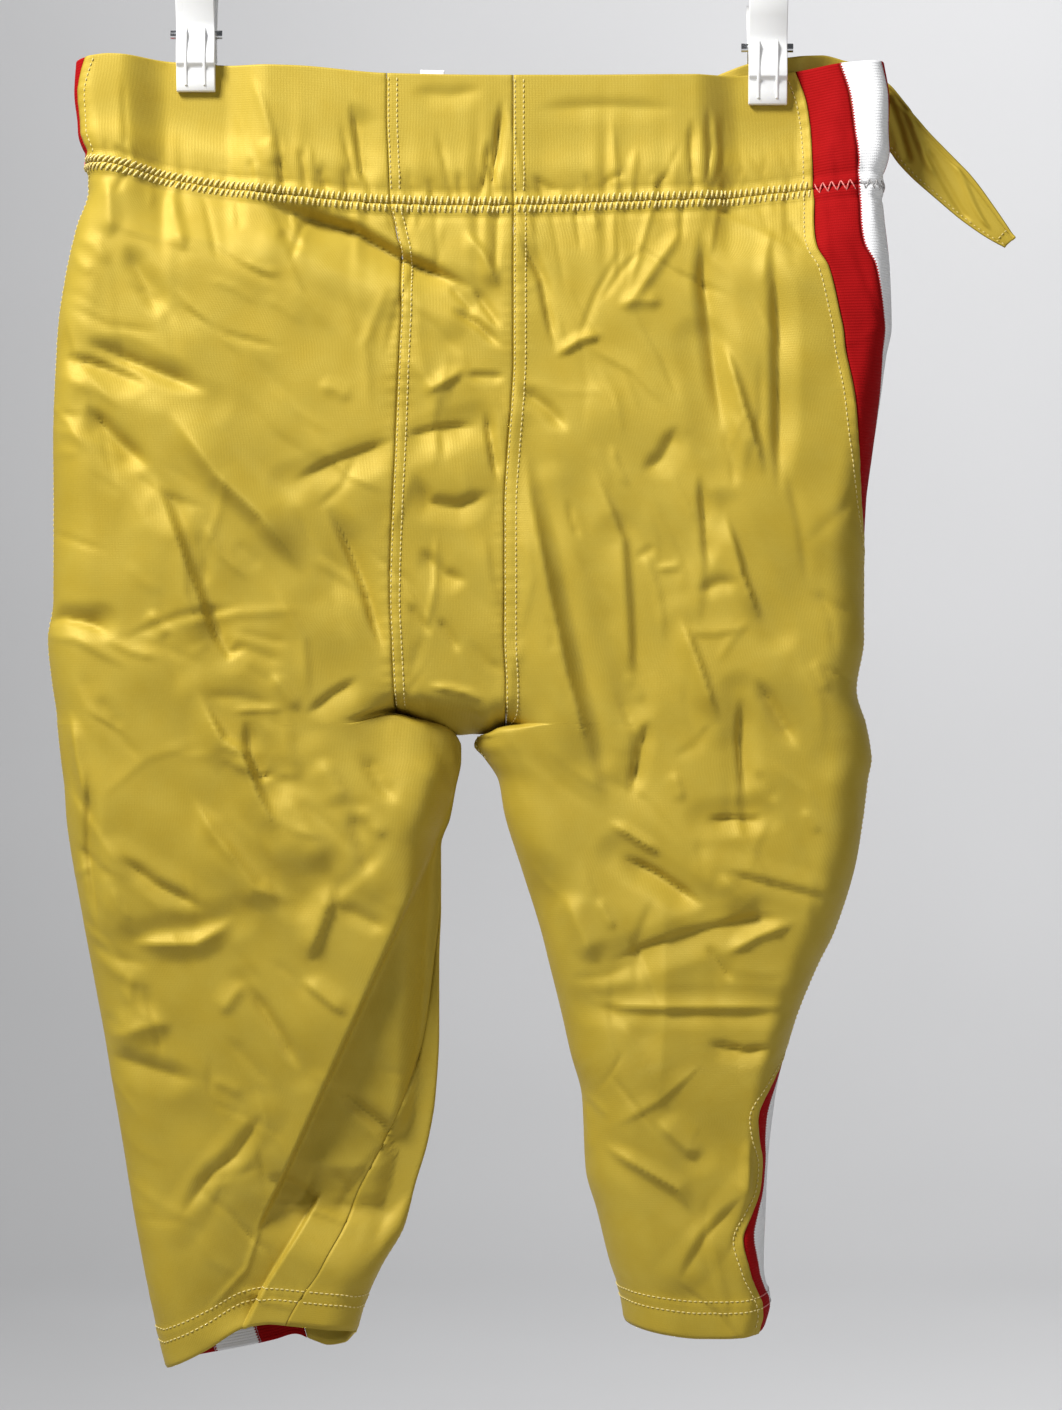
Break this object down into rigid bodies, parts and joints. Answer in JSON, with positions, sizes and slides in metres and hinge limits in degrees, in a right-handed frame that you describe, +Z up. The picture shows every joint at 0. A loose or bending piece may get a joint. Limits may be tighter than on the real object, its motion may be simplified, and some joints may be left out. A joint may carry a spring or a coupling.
{
  "type": "football pants on a clip hanger",
  "caption": "Knee-length football pants with side braid and a wide elastic waistband, hung from a clip hanger.",
  "frame": {"origin": "inside top of the hanger's hook, where a rail carries it", "axes": "+Z up, +X to the right of a viewer who sees the back of the pants, -Y towards that viewer"},
  "size_m": [0.5216, 0.0826, 0.8462],
  "materials": {
    "gold_knit": "old-gold warp knit with a satin sheen",
    "red_braid": "red ribbed knit braid",
    "white_braid": "white ribbed knit braid",
    "white_tape": "blank white satin tape",
    "white_plastic": "moulded white plastic",
    "chrome_wire": "bright plated steel"
  },
  "bodies": {
    "root": {"back_left": "gold_knit", "back_right": "gold_knit", "back_gusset": "gold_knit", "front_left": "gold_knit", "front_right": "gold_knit", "fly_placket": "gold_knit", "waistband_back_left": "gold_knit", "waistband_back_centre": "gold_knit", "waistband_back_right": "gold_knit", "waistband_front_left": "gold_knit", "waistband_front_centre": "gold_knit", "waistband_front_right": "gold_knit", "waist_tab": "gold_knit", "stripe_left_1": "red_braid", "stripe_left_2": "white_braid", "stripe_left_3": "red_braid", "stripe_right_1": "red_braid", "stripe_right_2": "white_braid", "stripe_right_3": "red_braid", "waist_stripe_left_1": "red_braid", "waist_stripe_left_2": "white_braid", "waist_stripe_left_3": "red_braid", "waist_stripe_right_1": "red_braid", "waist_stripe_right_2": "white_braid", "waist_stripe_right_3": "red_braid", "label": "white_tape", "hanger_bar": "white_plastic", "hanger_hook": "chrome_wire", "clip_left_front": "white_plastic", "clip_left_back": "white_plastic", "clip_left_loop": "white_plastic", "clip_left_pin": "chrome_wire", "clip_right_front": "white_plastic", "clip_right_back": "white_plastic", "clip_right_loop": "white_plastic", "clip_right_pin": "chrome_wire"}
  },
  "joints": []
}
